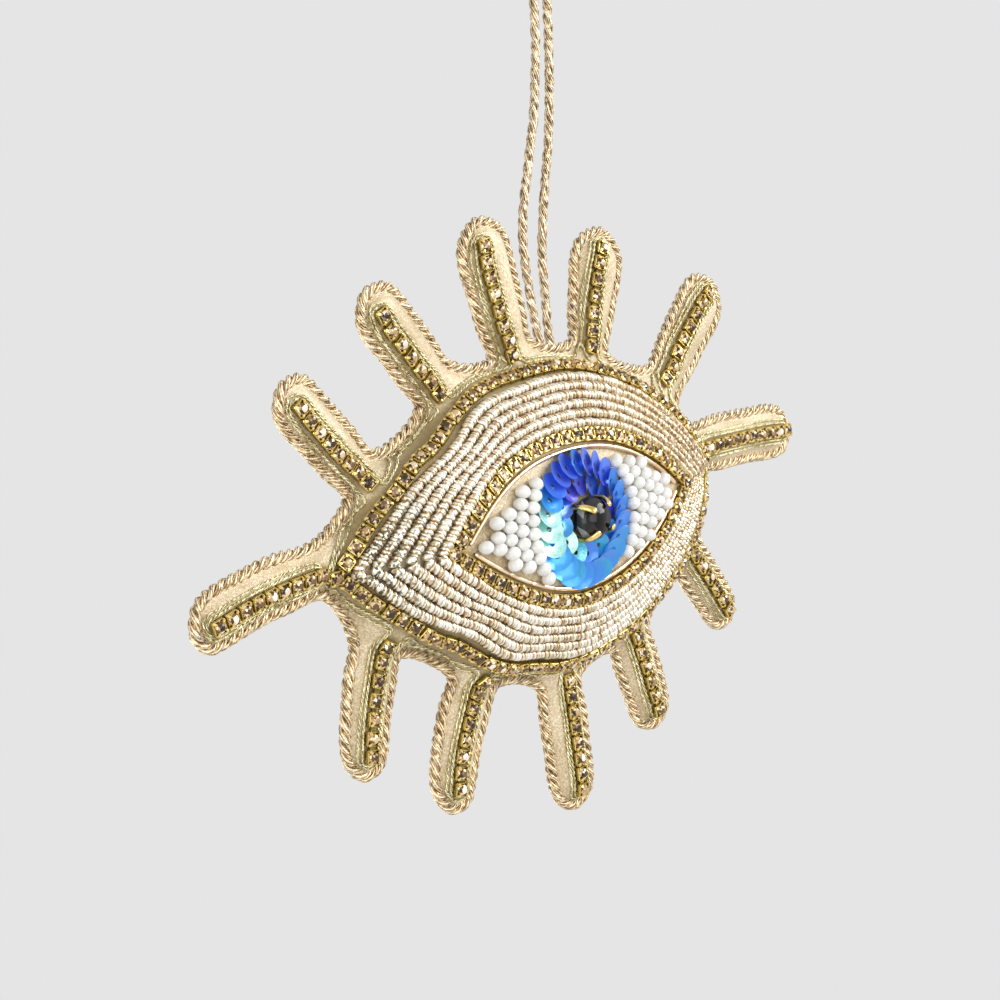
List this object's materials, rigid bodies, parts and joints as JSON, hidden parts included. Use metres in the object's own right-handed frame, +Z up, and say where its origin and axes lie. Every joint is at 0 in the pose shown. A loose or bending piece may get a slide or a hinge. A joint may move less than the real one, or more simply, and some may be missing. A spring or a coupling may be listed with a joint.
{
  "type": "hanging ornament",
  "caption": "Padded eye-shaped hanging ornament with radiating lashes, a domed embroidered front with gem chains, wire rows, beads and a sequin iris, and a cord loop to hang it by.",
  "frame": {"origin": "top of the hanging loop, where it rests on what holds it", "axes": "+Z up, -Y out of the embroidered front, +X to the right of someone facing the front"},
  "size_m": [0.1353, 0.0196, 0.1501],
  "materials": {
    "cord_gold": "twisted metallic cord",
    "cloth_gold": "champagne satin",
    "back_cloth": "plain woven satin",
    "filling": "soft fibre",
    "coil_silver": "polished silver-gold coil wire",
    "brass": "polished",
    "rose_wire": "polished rose gold",
    "white_glass": "opaque white",
    "blue_film": "iridescent blue film",
    "black_glass": "polished, faceted"
  },
  "bodies": {
    "loop": {"hanging_loop": "cord_gold"},
    "ornament": {"border_cord": "cord_gold", "front_panel": "cloth_gold", "back_panel": "back_cloth", "body_padding": "filling", "lash_padding_01": "filling", "lash_padding_02": "filling", "lash_padding_03": "filling", "lash_padding_04": "filling", "lash_padding_05": "filling", "lash_padding_06": "filling", "lash_padding_07": "filling", "lash_padding_08": "filling", "lash_padding_09": "filling", "lash_padding_10": "filling", "lash_padding_11": "filling", "lash_padding_12": "filling", "rim_chain": "brass", "eye_chain": "brass", "lash_chain_01": "brass", "lash_chain_02": "brass", "lash_chain_03": "brass", "lash_chain_04": "brass", "lash_chain_05": "brass", "lash_chain_06": "brass", "lash_chain_07": "brass", "lash_chain_08": "brass", "lash_chain_09": "brass", "lash_chain_10": "brass", "lash_chain_11": "brass", "lash_chain_12": "brass", "pupil_setting": "brass", "coil_row_upper_1": "coil_silver", "coil_row_upper_2": "coil_silver", "coil_row_upper_3": "coil_silver", "coil_row_upper_4": "coil_silver", "coil_row_upper_5": "coil_silver", "coil_row_upper_6": "coil_silver", "coil_row_lower_1": "coil_silver", "coil_row_lower_2": "coil_silver", "coil_row_lower_3": "coil_silver", "coil_row_lower_4": "coil_silver", "coil_row_lower_5": "coil_silver", "coil_row_lower_6": "coil_silver", "eye_wire_upper": "rose_wire", "eye_wire_lower": "rose_wire", "beads_left": "white_glass", "beads_right": "white_glass", "iris_sequins_outer": "blue_film", "iris_sequins_inner": "blue_film", "pupil_stone": "black_glass"}
  },
  "joints": [
    {"name": "loop_swing", "type": "hinge", "parent": "loop", "child": "ornament", "pos_m": [0.001, 0, -0.08], "axis": [1, 0, 0], "range_deg": [-75, 75]}
  ]
}
